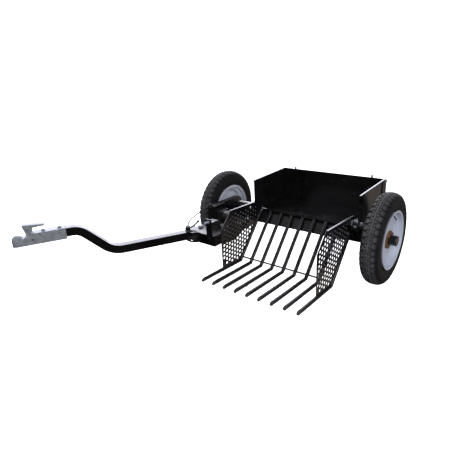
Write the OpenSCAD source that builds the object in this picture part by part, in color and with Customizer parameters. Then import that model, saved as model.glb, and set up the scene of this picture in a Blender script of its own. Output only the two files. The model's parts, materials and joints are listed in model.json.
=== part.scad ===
// Tow-behind pick-up cart: a fork bucket with nine tines scoops stones or droppings off the ground and
// a chain drive lifts it over into the hopper. The drawbar swings out so that the cart runs beside the
// tow vehicle. Millimetres, +Z up, -Y forward, +X the cart's left side. The cart stands unhitched:
// it rests on both tyres and on its tine tips, so that its frame is nose-down.

/* [Stance] */
// Nose-down angle of the frame while the tines rest on the ground
nose_down = 5.7; // [4.5:0.1:6.5]

/* [Wheels] */
// Distance between the two wheel centre planes
track = 1135; // [1130:5:1160]
// Tyre outer radius
tyre_r = 265; // [262:1:268]
// Tyre section width
tyre_w = 107; // [104:1:110]
// Rim flange radius
rim_r = 170; // [168:1:172]

/* [Frame] */
// Axle beam depth, front to back
beam_d = 60; // [50:1:60]
// Axle beam height
beam_h = 84; // [80:1:86]
// Width of the square side rail
rail_w = 50; // [46:1:52]
// Length of the side rail in front of the axle beam
rail_len = 473; // [465:1:480]
// Wall of the square tubes
wall = 3; // [3:0.5:4]

/* [Tongue] */
// Outward swing of the tongue from straight ahead
swing_out = 30; // [28:1:32]
// Side of the square tongue tube
tongue_w = 50; // [48:0.5:50.5]
// Rise angle of the tongue's sloping stretch
rise_angle = 45.5; // [44:0.5:46.5]
// Tongue reach from the swing pin to the first bend
lower_reach = 555; // [545:1:560]

/* [Bucket] */
// Number of tines
tine_n = 9; // [7:1:9]
// Distance between the outer tine centres
tine_span = 626; // [620:1:630]
// Tine bar diameter
tine_d = 22; // [20:0.5:23]
// Side plate thickness
plate_t = 3; // [3:0.5:4]
// Diameter of the holes in the side plates
hole_d = 18; // [15:0.5:19]
// Hole spacing
hole_pitch = 26.5; // [25:0.5:28]

/* [Hopper] */
// Outside width of the hopper
hopper_w = 701; // [698:1:704]
// Outside length of the hopper
hopper_len = 378; // [370:1:384]
// Height of the hopper wall above its floor's underside
hopper_h = 214; // [205:1:220]
// Sheet thickness of the hopper
sheet = 3; // [2.5:0.5:3]

/* [Hidden] */
$fn = 48;

// Whole object centred on its own bounding box
shift_x = 176.75;
shift_y = 535.16;
axle_h = tyre_r;

// Frame levels and places, in the frame's own level position
beam_z = axle_h - beam_h / 2;
rail_x = -288;
rail_y = -beam_d / 2 - rail_len;
gap = 0.5;
rail_z = beam_z + gap;
plate_th = 8;
pin_x = -440;
pin_y = -426;
pin_r = 10;
clamp_reach = 85;
clamp_r = 8;

// Bucket pivot: in the level frame, then where it stands
pivot_y = -52;
pivot_z = 345;
shaft_r = 12.5;
fit_gap = 0.05;
stand_y = pivot_y * cos(nose_down) - (pivot_z - axle_h) * sin(nose_down);
stand_z = axle_h + pivot_y * sin(nose_down) + (pivot_z - axle_h) * cos(nose_down);
tine_r = tine_d / 2;
tine_x0 = -230;
tine_x1 = tine_x0 + tine_span;

// Tine centre line, measured from the pivot
tip = [-590, tine_r - stand_z];
bend = [-220, tip[1] + 13];
leg_angle = 52.5;
tip_angle = 38;
leg_top = -27.5;
leg_run = (leg_top - bend[1]) / tan(leg_angle);
leg_end = [bend[0] + leg_run, leg_top];

// Hopper, in the level frame
floor_z = 317;
hopper_x0 = -247;
hopper_x1 = hopper_x0 + hopper_w;
hopper_y0 = -102;
hopper_y1 = hopper_y0 + hopper_len;
hopper_z1 = floor_z + hopper_h;
gate_y = hopper_y1 + 15;
gate_z = hopper_z1 - 18;
gate_ears = [hopper_x0 + 20, hopper_x1 - 28];
header_w = 79;
hinge_y = 215;
hinge_z = 300;

// Chain drive, on the right-hand side
case_x0 = -456;
case_x1 = -420;
motor_y = -262;
motor_z = 318;
chain_x = -438;
chain_pitch = 12.7;
drive_teeth = 12;
driven_teeth = 15;

// Coupler, in the tongue's frame: forward is -Y
upper_run = 164;
riser = upper_run * tan(rise_angle);
low_bend_r = 147;
high_bend_r = 97;
coupler_back = 789;
coupler_len = 252;
ball_y = -(coupler_back + coupler_len);
ball_r = 25;
tongue_mid = rail_z + tongue_w / 2;
tube_end = coupler_back + 160;
coupler_bolt_y = [-(coupler_back + 16), -(coupler_back + 98)];
coupler_stud_y = [-(coupler_back + 31), -(coupler_back + 116)];
shell_low = -31;
dome_z = -6;
lever_y = -985;
lever_z = 58;
coupler_z = tongue_mid + riser;

// Colours
black = [0.05, 0.05, 0.055];
zinc = [0.66, 0.69, 0.72];
rim_grey = [0.62, 0.66, 0.74];
rubber = [0.09, 0.09, 0.1];
rust = [0.3, 0.2, 0.14];
steel = [0.45, 0.46, 0.48];

// ---- Placement ----

module on_ground() translate([shift_x, shift_y, 0]) children();

module on_frame()
  on_ground() translate([0, 0, axle_h]) rotate([nose_down, 0, 0]) translate([0, 0, -axle_h]) children();

module on_tongue() on_frame() translate([pin_x, pin_y, 0]) rotate([0, 0, -swing_out]) children();

module on_coupler() on_tongue() translate([0, 0, coupler_z]) children();

module on_bucket() on_ground() translate([0, stand_y, stand_z]) children();

// A wheel's own axis is Z, pointing outward from the cart
module on_wheel(side)
  on_ground() translate([0, 0, axle_h]) mirror([side < 0 ? 1 : 0, 0, 0])
    translate([track / 2, 0, 0]) rotate([0, 90, 0]) children();

// ---- Shared shapes ----

// Cylinder along X
module rod_x(r, x0, x1, y = 0, z = 0)
  translate([x0, y, z]) rotate([0, 90, 0]) cylinder(r = r, h = x1 - x0);

// Cylinder along -Y
module rod_y(r, y0, y1, x = 0, z = 0)
  translate([x, y1, z]) rotate([90, 0, 0]) cylinder(r = r, h = y1 - y0);

// Plate standing in a YZ plane, from an outline given as [y, z]
module plate_x(x, t) translate([x, 0, 0]) rotate([90, 0, 90]) linear_extrude(t) children();

module block(x0, x1, y0, y1, z0, z1) translate([x0, y0, z0]) cube([x1 - x0, y1 - y0, z1 - z0]);

module tube_box(x0, x1, y0, y1, z0, z1, t, along) {
  grow = [along == 0 ? -1 : t, along == 1 ? -1 : t, along == 2 ? -1 : t];
  difference() {
    block(x0, x1, y0, y1, z0, z1);
    block(x0 + grow[0], x1 - grow[0], y0 + grow[1], y1 - grow[1], z0 + grow[2], z1 - grow[2]);
  }
}

module hex(across, h) cylinder(r = across / 2 / cos(30), h = h, $fn = 6);

module ring(r_out, r_in, h) difference() {
  cylinder(r = r_out, h = h);
  translate([0, 0, -1]) cylinder(r = r_in, h = h + 2);
}

// ---- Frame ----

module axle_beam() color(black) on_frame()
  tube_box(-490, 490, -beam_d / 2, beam_d / 2, beam_z, beam_z + beam_h, 4, 0);

module side_rail() color(black) on_frame()
  difference() {
    tube_box(rail_x - rail_w / 2, rail_x + rail_w / 2, rail_y, -beam_d / 2, rail_z - gap,
      rail_z + tongue_w + gap, wall, 3);
    // Open rear end, closed by the axle beam
    block(rail_x - rail_w / 2 + wall, rail_x + rail_w / 2 - wall, -beam_d / 2 - 10, -beam_d / 2 + 1,
      rail_z - gap + wall, rail_z + tongue_w + gap - wall);
  }

function polar(r, a) = r * [sin(a), -cos(a)];

// Outline of a swing plate: a strip over the rail, a lobe round the pin and a fan for the clamp bolt
module swing_outline() {
  r = clamp_reach + 17;
  inner = rail_x + rail_w / 2;
  outer = rail_x - rail_w / 2;
  pin = [pin_x, pin_y];
  difference() {
    polygon(concat(
      [[inner, rail_y], [inner, rail_y + 123], [outer, rail_y + 123]],
      [for (a = [170 : 10 : 270]) pin + polar(34, a)],
      [for (a = [-swing_out - 27 : 3 : 9]) pin + polar(r, a)],
      [[-399, rail_y]]));
    translate(pin) circle(pin_r);
    translate(pin) polygon(arc_slot());
  }
}

// Curved slot for the clamp bolt, from straight ahead to fully swung out
slot_half = clamp_r + 0.6;
slot_from = -swing_out - 0.5;
slot_to = 0.5;

function slot_arc(r, a0, a1) = [for (k = [0 : 15]) polar(r, a0 + (a1 - a0) * k / 16)];

function slot_end(a, turn) = [for (k = [0 : 15])
  polar(clamp_reach, a) + polar(slot_half, a + turn + k * 11.25)];

function arc_slot() = concat(slot_arc(clamp_reach + slot_half, slot_from, slot_to), slot_end(slot_to, 0),
  slot_arc(clamp_reach - slot_half, slot_to, slot_from), slot_end(slot_from, 180));

module swing_plate_top() color(black) on_frame()
  translate([0, 0, rail_z + tongue_w + gap]) linear_extrude(plate_th) swing_outline();

module swing_plate_bottom() color(black) on_frame()
  translate([0, 0, rail_z - gap - plate_th]) linear_extrude(plate_th) swing_outline();

module swing_pin() color(zinc) on_frame() translate([pin_x, pin_y, 0]) {
  z0 = rail_z - gap - plate_th;
  z1 = rail_z + tongue_w + gap + plate_th;
  translate([0, 0, z0 - 16]) cylinder(r = pin_r, h = z1 - z0 + 16);
  translate([0, 0, z1]) hex(30, 12);
  difference() {
    translate([0, 0, z0 - 14]) hex(30, 14);
    translate([0, 0, z0 - 20]) cylinder(r = pin_r, h = 30);
  }
}

// Two arms behind the axle that carry the hopper hinge
module rear_arms() color(black) on_frame()
  for (x = [-150, 330]) {
    tube_box(x, x + 30, beam_d / 2, 190, 262, 302, wall, 1);
    difference() {
      plate_x(x, 30) polygon([[190, 262], [hinge_y + 6, 280], [hinge_y + 13, hinge_z], [hinge_y, 312],
        [205, 312], [190, 302]]);
      rod_x(8 + fit_gap, x - 1, x + 31, hinge_y, hinge_z);
    }
  }

module hopper_hinge_pin() color(zinc) on_frame() {
  rod_x(8, -172, 382, hinge_y, hinge_z);
  for (x = [-177, 382]) rod_x(12, x, x + 5, hinge_y, hinge_z);
}

module hopper_rests() color(rubber) on_frame()
  for (x = [-215, 350]) block(x, x + 30, -20, 20, beam_z + beam_h, floor_z - 0.3);

// ---- Bucket bearings ----

module bearing_brackets() color(black) on_frame() {
  base = pivot_z - 22;
  // Right-hand pedestal stands on the side rail and the axle beam
  block(-304, -262, -90, -14, base - 8, base);
  block(-304, -262, -88, -82, rail_z + tongue_w + gap, base - 8);
  block(-304, -262, -22, -16, beam_z + beam_h, base - 8);
  // Left-hand bracket is welded to the front of the axle beam
  block(408, 449, -95, -14, base - 8, base);
  for (x = [408, 443]) plate_x(x, 6)
    polygon([[-beam_d / 2, 240], [-beam_d / 2, base - 8], [-95, base - 8], [-95, base - 20]]);
  block(408, 449, -beam_d / 2, -14, beam_z + beam_h, base - 8);
}

module pillow_block(x0, x1) {
  base = pivot_z - 22;
  mid = (x0 + x1) / 2;
  difference() {
    union() {
      rod_x(24, x0, x1, pivot_y, pivot_z);
      block(x0, x1, pivot_y - 24, pivot_y + 24, base, pivot_z);
      block(mid - 12, mid + 12, pivot_y - 40, pivot_y + 40, base, base + 12);
    }
    rod_x(shaft_r + fit_gap, x0 - 1, x1 + 1, pivot_y, pivot_z);
    block(x0 - 1, x1 + 1, pivot_y - 30, pivot_y + 30, base - 20, base);
    for (s = [-1, 1]) translate([mid, pivot_y + 32 * s, base - 1]) cylinder(r = 5, h = 20);
  }
}

module pillow_block_right() color(steel) on_frame() pillow_block(-297, -265);

module pillow_block_left() color(steel) on_frame() pillow_block(411, 443);

module bearing_bolts() color(zinc) on_frame() {
  base = pivot_z - 22;
  for (x = [-281, 427], s = [-1, 1]) translate([x, pivot_y + 32 * s, base]) {
    cylinder(r = 5, h = 12);
    translate([0, 0, 12]) hex(16, 8);
  }
}

// ---- Wheels ----

module spindle() {
  end = 490 - track / 2;
  rotate(nose_down) translate([1 - beam_h / 2, 1 - beam_d / 2, end]) cube([beam_h - 2, beam_d - 2, 6]);
  translate([0, 0, end + 6]) cylinder(r = 18, h = -25 - end - 6);
  translate([0, 0, -25]) cylinder(r = shaft_r, h = 69);
}

module spindle_left() color(steel) on_wheel(1) spindle();

module spindle_right() color(steel) on_wheel(-1) spindle();

module spindle_nuts() color(zinc)
  for (side = [-1, 1]) on_wheel(side) difference() {
    union() {
      translate([0, 0, 22.5]) cylinder(r = 18, h = 3);
      translate([0, 0, 25.5]) hex(30, 14);
    }
    cylinder(r = shaft_r + fit_gap, h = 60);
  }

// Half outline of a tyre section: a rounded box that is open at the beads
function section(w, h, mid, from) = [for (a = [from : 7.5 : 180 - from])
  [mid + h * sign(sin(a)) * pow(abs(sin(a)), 0.8), w * sign(cos(a)) * pow(abs(cos(a)), 0.8)]];

module tyre() {
  bead = rim_r - 12;
  mid = (tyre_r + bead) / 2 - 1;
  half = tyre_r - mid;
  outer = section(tyre_w / 2, half, mid, -60);
  inner = section(tyre_w / 2 - 9, half - 13, mid, -60);
  rotate_extrude($fn = 96) intersection() {
    polygon(concat(outer, [for (i = [len(inner) - 1 : -1 : 0]) inner[i]]));
    translate([bead, -tyre_w]) square([200, 2 * tyre_w]);
  }
}

module tyre_left() color(rubber) on_wheel(1) tyre();

module tyre_right() color(rubber) on_wheel(-1) tyre();

// Rim: a drop-centre section with a dished disc, as half sections that meet at the middle
module rim() {
  seat = rim_r - 12.6;
  drop = rim_r - 30;
  t = 3;
  half_out = [[drop, 22], [seat, 28], [seat, 47.5], [rim_r - 3, 47.5], [rim_r, 50], [rim_r, 53],
    [rim_r - 5, 53]];
  half_in = [[rim_r - 6, 50.5], [seat - t, 50.5], [seat - t, 30], [drop - t, 24]];
  half = concat(half_out, half_in);
  disc = [[drop - t, 12], [97, 12], [77, 22], [35, 22], [35, 18], [75, 18], [95, 8], [drop - t, 8]];
  difference() {
    rotate_extrude($fn = 96)
      polygon(concat(half, disc, [for (i = [len(half) - 1 : -1 : 0]) [half[i][0], -half[i][1]]]));
    for (a = [45 : 90 : 315]) rotate(a) translate([41, 0, 10]) cylinder(r = 5.5, h = 20);
    rotate(180) translate([seat - 8, 0, 38]) rotate([0, 90, 0]) cylinder(r = 5, h = 20);
  }
}

module rim_left() color(rim_grey) on_wheel(1) rim();

module rim_right() color(rim_grey) on_wheel(-1) rim();

// Hub with its two bearings and four wheel bolts
module hub() {
  difference() {
    union() {
      translate([0, 0, -28]) cylinder(r = 34, h = 51);
      translate([0, 0, 22]) cylinder(r = 52, h = 8);
    }
    translate([0, 0, -40]) cylinder(r = 23.5, h = 90);
  }
  for (z = [-24.5, 10]) translate([0, 0, z]) ring(23.5, shaft_r + fit_gap, 12);
  translate([0, 0, -12.5]) ring(23.5, 18, 22.5);
  for (a = [45 : 90 : 315]) rotate(a) translate([41, 0, 0]) {
    translate([0, 0, 30]) hex(15, 8);
    translate([0, 0, 14]) cylinder(r = 5, h = 10);
  }
}

module hub_left() color(rust) on_wheel(1) hub();

module hub_right() color(rust) on_wheel(-1) hub();

module hub_cap() translate([0, 0, 30]) rotate_extrude()
  polygon([[27, 0], [31.5, 0], [31.5, 4], [30, 4], [30, 40], [27, 43.5], [0, 43.5], [0, 40.5], [26, 40.5],
    [27, 39]]);

module hub_cap_left() color(black) on_wheel(1) hub_cap();

module hub_cap_right() color(black) on_wheel(-1) hub_cap();

// ---- Chain drive ----

function toward(a, b, t) = a + (b - a) * t;

// Side view of the chain case, as [y, z]: square at the motor and round at the bucket pivot
module case_outline(grow) {
  front = motor_y - 56 - grow;
  low = motor_z - 60 - grow;
  high = motor_z + 74 + grow;
  r = 41 + grow;
  polygon(concat([[motor_y + 60, low], [front, low], [front, high]],
    [for (a = [96 : -6 : -72]) [pivot_y + r * cos(a), pivot_z + r * sin(a)]]));
}

module drive_case() color(black) on_frame() difference() {
  plate_x(case_x0, case_x1 - case_x0 - 3) case_outline(0);
  plate_x(case_x0 + 3, case_x1 - case_x0) case_outline(-3);
}

module case_cover() color(black) on_frame() difference() {
  union() {
    plate_x(case_x1 - 3, 3) case_outline(0);
    block(case_x1, rail_x + 20, -165, -140, rail_z + tongue_w + gap, rail_z + tongue_w + gap + 6);
    difference() {
      plate_x(case_x1, 16) polygon([[motor_y - 56, motor_z - 60], [motor_y - 56, motor_z + 74],
        [motor_y + 52, motor_z + 72], [motor_y + 52, motor_z - 60]]);
      plate_x(case_x1 - 1, 14) polygon([[motor_y - 53, motor_z - 57], [motor_y - 53, motor_z + 71],
        [motor_y + 49, motor_z + 69], [motor_y + 49, motor_z - 57]]);
    }
  }
  rod_x(shaft_r + 2, case_x1 - 5, case_x1 + 5, pivot_y, pivot_z);
  rod_x(12, case_x1 - 5, case_x1 + 30, motor_y, motor_z);
}

// Gear motor: flanged gearbox, round motor body, end bell and a foot on the side rail
module gear_motor() color(black) on_frame() {
  difference() {
    union() {
      block(-404, -372, motor_y - 40, motor_y + 40, motor_z - 38, motor_z + 38);
      rod_x(36, -372, -306, motor_y, motor_z);
      rod_x(32, -306, -298, motor_y, motor_z);
      block(-400, -376, motor_y - 30, motor_y + 30, rail_z + tongue_w + gap, motor_z);
      block(-400, -264, motor_y - 30, motor_y + 30, rail_z + tongue_w + gap, rail_z + tongue_w + gap + 4);
    }
    rod_x(8 + fit_gap, -405, -380, motor_y, motor_z);
  }
}

module sprocket(teeth, hub_r) {
  r = chain_pitch / 2 / sin(180 / teeth);
  linear_extrude(6, center = true) difference() {
    circle(r + 3.5);
    for (i = [0 : teeth - 1]) rotate(i * 360 / teeth) translate([r, 0]) circle(4.3);
  }
  translate([0, 0, -10]) cylinder(r = hub_r, h = 20);
}

function sprocket_r(teeth) = chain_pitch / 2 / sin(180 / teeth);

module drive_sprocket() color(steel) on_frame() {
  translate([chain_x, motor_y, motor_z]) rotate([0, 90, 0]) sprocket(drive_teeth, 14);
  rod_x(8, -428, -382, motor_y, motor_z);
}

module driven_sprocket() color(steel) on_frame() difference() {
  translate([chain_x, pivot_y, pivot_z]) rotate([0, 90, 0]) sprocket(driven_teeth, 22);
  rod_x(shaft_r + fit_gap, chain_x - 20, chain_x + 20, pivot_y, pivot_z);
}

// Outline of a belt around both sprockets, grown by g from the pitch line
module chain_loop(g) {
  a = [motor_y, motor_z];
  b = [pivot_y, pivot_z];
  ra = sprocket_r(drive_teeth) + g;
  rb = sprocket_r(driven_teeth) + g;
  lean = atan2(b[1] - a[1], b[0] - a[0]);
  open = acos((ra - rb) / norm(b - a));
  translate(a) circle(ra);
  translate(b) circle(rb);
  polygon([a + ra * [cos(lean + open), sin(lean + open)], b + rb * [cos(lean + open), sin(lean + open)],
    b + rb * [cos(lean - open), sin(lean - open)], a + ra * [cos(lean - open), sin(lean - open)]]);
}

// Two rows of side plates, joined by rollers along the straight runs
module roller_chain() color(steel) on_frame() {
  for (x = [-6, 4]) plate_x(chain_x + x, 2) difference() {
    chain_loop(6);
    chain_loop(-6);
  }
  a = [motor_y, motor_z];
  b = [pivot_y, pivot_z];
  for (side = [-1, 1], i = [0 : 10]) {
    t = 0.25 + i * 0.05;
    mid = toward(a, b, t);
    off = side * toward(sprocket_r(drive_teeth), sprocket_r(driven_teeth), t);
    n = [-(b[1] - a[1]), b[0] - a[0]] / norm(b - a);
    rod_x(4.2, chain_x - 5, chain_x + 5, mid[0] + off * n[0], mid[1] + off * n[1]);
  }
}

// ---- Front post, socket and supply cable ----

module front_post() color(black) on_frame() {
  y = rail_y - 6;
  block(rail_x - 30, rail_x + 12, y, rail_y, 250, 388);
  translate([rail_x - 9, y, 262]) rotate([90, 0, 0]) hex(16, 7);
}

// Round relay can on a strap behind the post
module motor_relay() color(black) on_frame() {
  rod_x(22, rail_x - 30, rail_x + 16, rail_y + 54, 345);
  rod_x(9, rail_x + 16, rail_x + 22, rail_y + 54, 345);
  block(rail_x - 30, rail_x + 12, rail_y, rail_y + 54, 363, 367);
}

module power_socket() color(zinc) on_frame() {
  y = rail_y - 6;
  rod_y(10, y - 6, y, rail_x - 9, 371);
  rod_y(6.5, y - 38, y - 6, rail_x - 9, 371);
}

// Supply cable in the level frame: it rises from the eye on the swing plate and ends level at the case
cable_start = [pin_x, pin_y] + polar(80, -swing_out - 20);
cable_low = rail_z + tongue_w + gap + plate_th + 14;
cable_end = [-438, -331, 400];
cable_path = [[cable_start[0], cable_start[1], cable_low + 3], [cable_start[0] + 1, cable_start[1] + 6, 316],
  [-493, -456, 334], [-480, -434, 350], [-467, -410, 366], [-455, -386, 381], [-444, -364, 393],
  [-439, -348, 399], [-438, -338, 400]];
cable_r = 3.5;

function spline(p, i, t) =
  let (a = p[max(i - 1, 0)], b = p[i], c = p[i + 1], d = p[min(i + 2, len(p) - 1)])
  0.5 * (2 * b + (c - a) * t + (2 * a - 5 * b + 4 * c - d) * t * t + (3 * b - a - 3 * c + d) * t * t * t);

module sweep(path, r, sides) {
  n = len(path);
  points = [for (i = [0 : n - 1])
    let (d = path[min(i + 1, n - 1)] - path[max(i - 1, 0)], u = d / norm(d),
      s = cross(u, [1, 0, 0.2]), v = s / norm(s), w = cross(u, v))
    for (k = [0 : sides - 1]) path[i] + r * (cos(360 * k / sides) * v + sin(360 * k / sides) * w)];
  skin = [for (i = [0 : n - 2], k = [0 : sides - 1])
    let (m = (k + 1) % sides) [i * sides + k, (i + 1) * sides + k, (i + 1) * sides + m, i * sides + m]];
  polyhedron(points, concat(skin, [[for (k = [0 : sides - 1]) k],
    [for (k = [sides - 1 : -1 : 0]) (n - 1) * sides + k]]), convexity = 4);
}

module supply_cable() color(black) on_frame() {
  last = len(cable_path) - 1;
  sweep(concat([[cable_start[0], cable_start[1], cable_low]],
    [for (i = [0 : last - 1], t = [0 : 0.25 : 0.75]) spline(cable_path, i, t)],
    [cable_end - [0, 4, 0], cable_end]), cable_r, 8);
}

// Strain relief on the front of the chain case
module cable_gland() color(black) on_frame() {
  front = motor_y - 56;
  block(-452, -424, front - 6, front, 380, motor_z + 90);
  rod_y(6, cable_end[1], front - 6, cable_end[0], cable_end[2]);
}

// Grommet that leads the cable down through the swing plate
module cable_eye() color(rubber) on_frame() {
  top = rail_z + tongue_w + gap + plate_th;
  translate([cable_start[0], cable_start[1], top]) {
    cylinder(r = 9, h = 5);
    translate([0, 0, 5]) cylinder(r1 = 7, r2 = 5, h = cable_low - top - 5);
  }
}

// ---- Tongue ----

// Side view of the tongue tube as [y, z] round its centre line: straight stretches and two bends, w across
module tongue_outline(w, extra) {
  steps = 14;
  turn = [for (k = [0 : steps]) rise_angle * k / steps];
  low = [low_bend_r * tan(rise_angle / 2) - lower_reach, low_bend_r];
  high = [-lower_reach - upper_run - high_bend_r * tan(rise_angle / 2), riser - high_bend_r];
  function side(d) = concat(
    [[38 + extra, -d]],
    [for (a = turn) low + (low_bend_r + d) * [-sin(a), -cos(a)]],
    [for (k = [steps : -1 : 0]) high + (high_bend_r - d) * [sin(turn[k]), cos(turn[k])]],
    [[-tube_end - extra, riser - d]]);
  upper = side(-w / 2);
  polygon(concat(side(w / 2), [for (i = [len(upper) - 1 : -1 : 0]) upper[i]]));
}

module tongue_tube() color(black) on_tongue() difference() {
  translate([0, 0, tongue_mid]) plate_x(-tongue_w / 2, tongue_w) tongue_outline(tongue_w, 0);
  translate([0, 0, tongue_mid]) plate_x(wall - tongue_w / 2, tongue_w - 2 * wall)
    tongue_outline(tongue_w - 2 * wall, 1);
  cylinder(r = 14, h = 500);
  translate([0, -clamp_reach, 0]) cylinder(r = clamp_r + 0.1, h = 500);
  for (y = coupler_bolt_y) rod_x(6.1, -40, 40, y, coupler_z);
  for (y = coupler_stud_y) translate([0, y, coupler_z]) cylinder(r = 6.1, h = 60);
}

module swing_bush() color(steel) on_tongue() translate([0, 0, rail_z]) ring(14, pin_r + fit_gap, tongue_w);

module clamp_bolt() color(zinc) on_tongue() translate([0, -clamp_reach, 0]) {
  low = rail_z - gap - plate_th - 0.6;
  high = rail_z + tongue_w + gap + plate_th + 16.8;
  translate([0, 0, low - 10]) hex(24, 10);
  translate([0, 0, low]) cylinder(r = clamp_r, h = high - low + 12);
  translate([0, 0, high + 0.4]) difference() {
    hex(24, 9);
    translate([0, 0, -1]) cylinder(r = clamp_r, h = 11);
  }
}

// Hand lever that tightens the clamp bolt
module clamp_handle() color(black) on_tongue()
  translate([0, -clamp_reach, rail_z + tongue_w + gap + plate_th + 0.4]) difference() {
    union() {
      cylinder(r = 15, h = 16);
      translate([0, 10, 9]) rotate([-72, 0, 0]) cylinder(r = 5, h = 34);
      translate([0, 42.3, 19.5]) rotate([-52, 0, 0]) {
        sphere(r = 6.5, $fn = 48);
        cylinder(r = 5, h = 30);
        translate([0, 0, 30]) cylinder(r = 8, h = 12);
      }
    }
    translate([0, 0, -1]) cylinder(r = clamp_r + fit_gap, h = 30);
  }

// ---- Coupler ----

// Pressed shell, open below, with a lip turned out all round its lower edge
module coupler_shell() {
  back = -coupler_back;
  front = back - 174;
  difference() {
    union() {
      plate_x(-29, 58) polygon([[back, shell_low], [back, 28.5], [front, 28.5], [front - 22, 22],
        [front - 44, 9], [ball_y, 9], [ball_y, shell_low]]);
      plate_x(-34, 68) polygon([[back, shell_low - 3], [back, shell_low], [ball_y, shell_low],
        [ball_y, shell_low - 3]]);
      translate([0, ball_y, dome_z]) intersection() {
        sphere(r = 31, $fn = 64);
        translate([0, 0, -2]) cylinder(r = 40, h = 60);
      }
      translate([0, ball_y, shell_low]) cylinder(r = 31, h = dome_z - shell_low);
      translate([0, ball_y, shell_low - 3]) cylinder(r = 34, h = 3);
    }
    plate_x(-26, 52) polygon([[back + 1, -40], [back + 1, 25.4], [front, 25.4], [front - 20, 19.4],
      [front - 42, 6], [ball_y + 20, 6], [ball_y + 20, -40]]);
    translate([0, ball_y, dome_z]) sphere(r = ball_r + 0.4, $fn = 64);
    translate([0, ball_y, -50]) cylinder(r = ball_r + 0.4, h = 50 + dome_z);
  }
}

module coupler_body() color(zinc) on_coupler() difference() {
  union() {
    coupler_shell();
    for (x = [-12, 8]) plate_x(x, 4) {
      polygon([[lever_y + 18, 22], [lever_y + 12, 42], [lever_y + 12, lever_z], [lever_y - 12, lever_z],
        [lever_y - 12, 36], [lever_y - 7, 26], [lever_y - 14, 11]]);
      translate([lever_y, lever_z]) circle(12);
    }
  }
  rod_x(5, -30, 30, lever_y, lever_z);
  for (y = coupler_bolt_y) rod_x(6.1, -40, 40, y, 0);
  for (y = coupler_stud_y) translate([0, y, 0]) cylinder(r = 6.1, h = 60);
  rod_x(5, 20, 40, ball_y + 77, -6);
}

// Two cross bolts and two bolts from the top hold the coupler on the tube
module coupler_bolts() color(zinc) on_coupler() {
  for (y = coupler_bolt_y) {
    rod_x(6, -38, 36, y, 0);
    translate([29, y, 0]) rotate([0, 90, 0]) hex(19, 7.5);
    translate([-29, y, 0]) rotate([0, -90, 0]) hex_ring(19, 6, 8);
  }
  for (y = coupler_stud_y) {
    translate([0, y, 14]) cylinder(r = 6, h = 24);
    translate([0, y, 28.5]) hex_ring(19, 6, 7);
    translate([0, y, 14]) cylinder(r = 10, h = 8);
  }
}

module hex_ring(across, r, h) difference() {
  hex(across, h);
  translate([0, 0, -1]) cylinder(r = r, h = h + 2);
}

module latch_pin() color(zinc) on_coupler() {
  rod_x(4.95, -22, 22, lever_y, lever_z);
  rod_x(8, 22, 25, lever_y, lever_z);
}

// Lever with two cheeks and a hand plate that reaches back over the tube
module latch_lever() color(zinc) on_coupler() difference() {
  union() {
    for (x = [-17.5, 13.5]) plate_x(x, 4) polygon([[lever_y + 13, lever_z - 12], [lever_y - 13, lever_z - 12],
      [lever_y - 20, lever_z + 18], [lever_y + 92, lever_z + 8], [lever_y + 92, lever_z + 2],
      [lever_y + 34, lever_z + 1], [lever_y + 26, lever_z - 22], [lever_y + 16, lever_z - 24]]);
    plate_x(-17.5, 35) polygon([[lever_y - 20, lever_z + 17], [lever_y - 20, lever_z + 22],
      [lever_y + 94, lever_z + 12], [lever_y + 94, lever_z + 7]]);
  }
  rod_x(5 + fit_gap, -20, 20, lever_y, lever_z);
}

// Jaw that locks under the ball
module ball_jaw() color(steel) on_coupler()
  block(-12, 12, ball_y + 27.5, ball_y + 38, dome_z - 22, 2);

// ---- Bucket ----

// One tine: a bent round bar whose tip is cut to a chisel point at the ground
module tine(x) translate([x, 0, 0]) {
  low = norm(tip - bend);
  dip = atan2(tip[1] - bend[1], bend[0] - tip[0]);
  high = norm(leg_end - bend);
  difference() {
    translate([0, bend[0], bend[1]]) {
      sphere(r = tine_r, $fn = 32);
      rotate([90 - dip, 0, 0]) cylinder(r = tine_r, h = low);
      rotate([leg_angle - 90, 0, 0]) cylinder(r = tine_r, h = high);
    }
    translate([-20, tip[0] - 1, tip[1] - tine_r + 4]) rotate([tip_angle, 0, 0])
      translate([0, -60, 0]) cube([40, 120, 30]);
  }
}

module bucket_tines() color(black) on_bucket()
  for (i = [0 : tine_n - 1]) tine(tine_x0 + i * tine_span / (tine_n - 1));

// Plate behind the tine tops, with a lip along its upper edge
module bucket_header() color(black) on_bucket() {
  plate_x(tine_x0 + plate_t / 2, tine_span - plate_t) {
    translate(leg_end) rotate(leg_angle) translate([-header_w, -tine_r - 5]) square([header_w + 19, 5]);
    translate([leg_end[0] - 7, leg_top + 6]) square([27, 4]);
  }
}

module cross_rod() color(black) on_bucket()
  plate_x(tine_x0, tine_span) translate(bend) rotate(leg_angle) translate([28, -tine_r - 5]) circle(5);

// Corners of a side plate, measured from the pivot; the last two lie on the outer tine
plate_points = [[7, 44], [-334, 36], [-421, -74], [-400, bend[1] - 6], bend, leg_end];

function edge_gap(p, a, b) = cross(b - a, p - a) / norm(b - a);

function inside_by(p) = min([for (i = [0 : len(plate_points) - 1])
  edge_gap(p, plate_points[i], plate_points[(i + 1) % len(plate_points)])]);

// Staggered holes, kept clear of the plate's border and of its hub
module plate_holes() for (i = [0 : 16], j = [0 : 15]) {
  p = [-388 + i * hole_pitch, -330 + (j + (i % 2) / 2) * hole_pitch];
  if (inside_by(p) > hole_d / 2 + 7.5 && norm(p) > 58) translate(p) circle(d = hole_d, $fn = 24);
}

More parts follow.
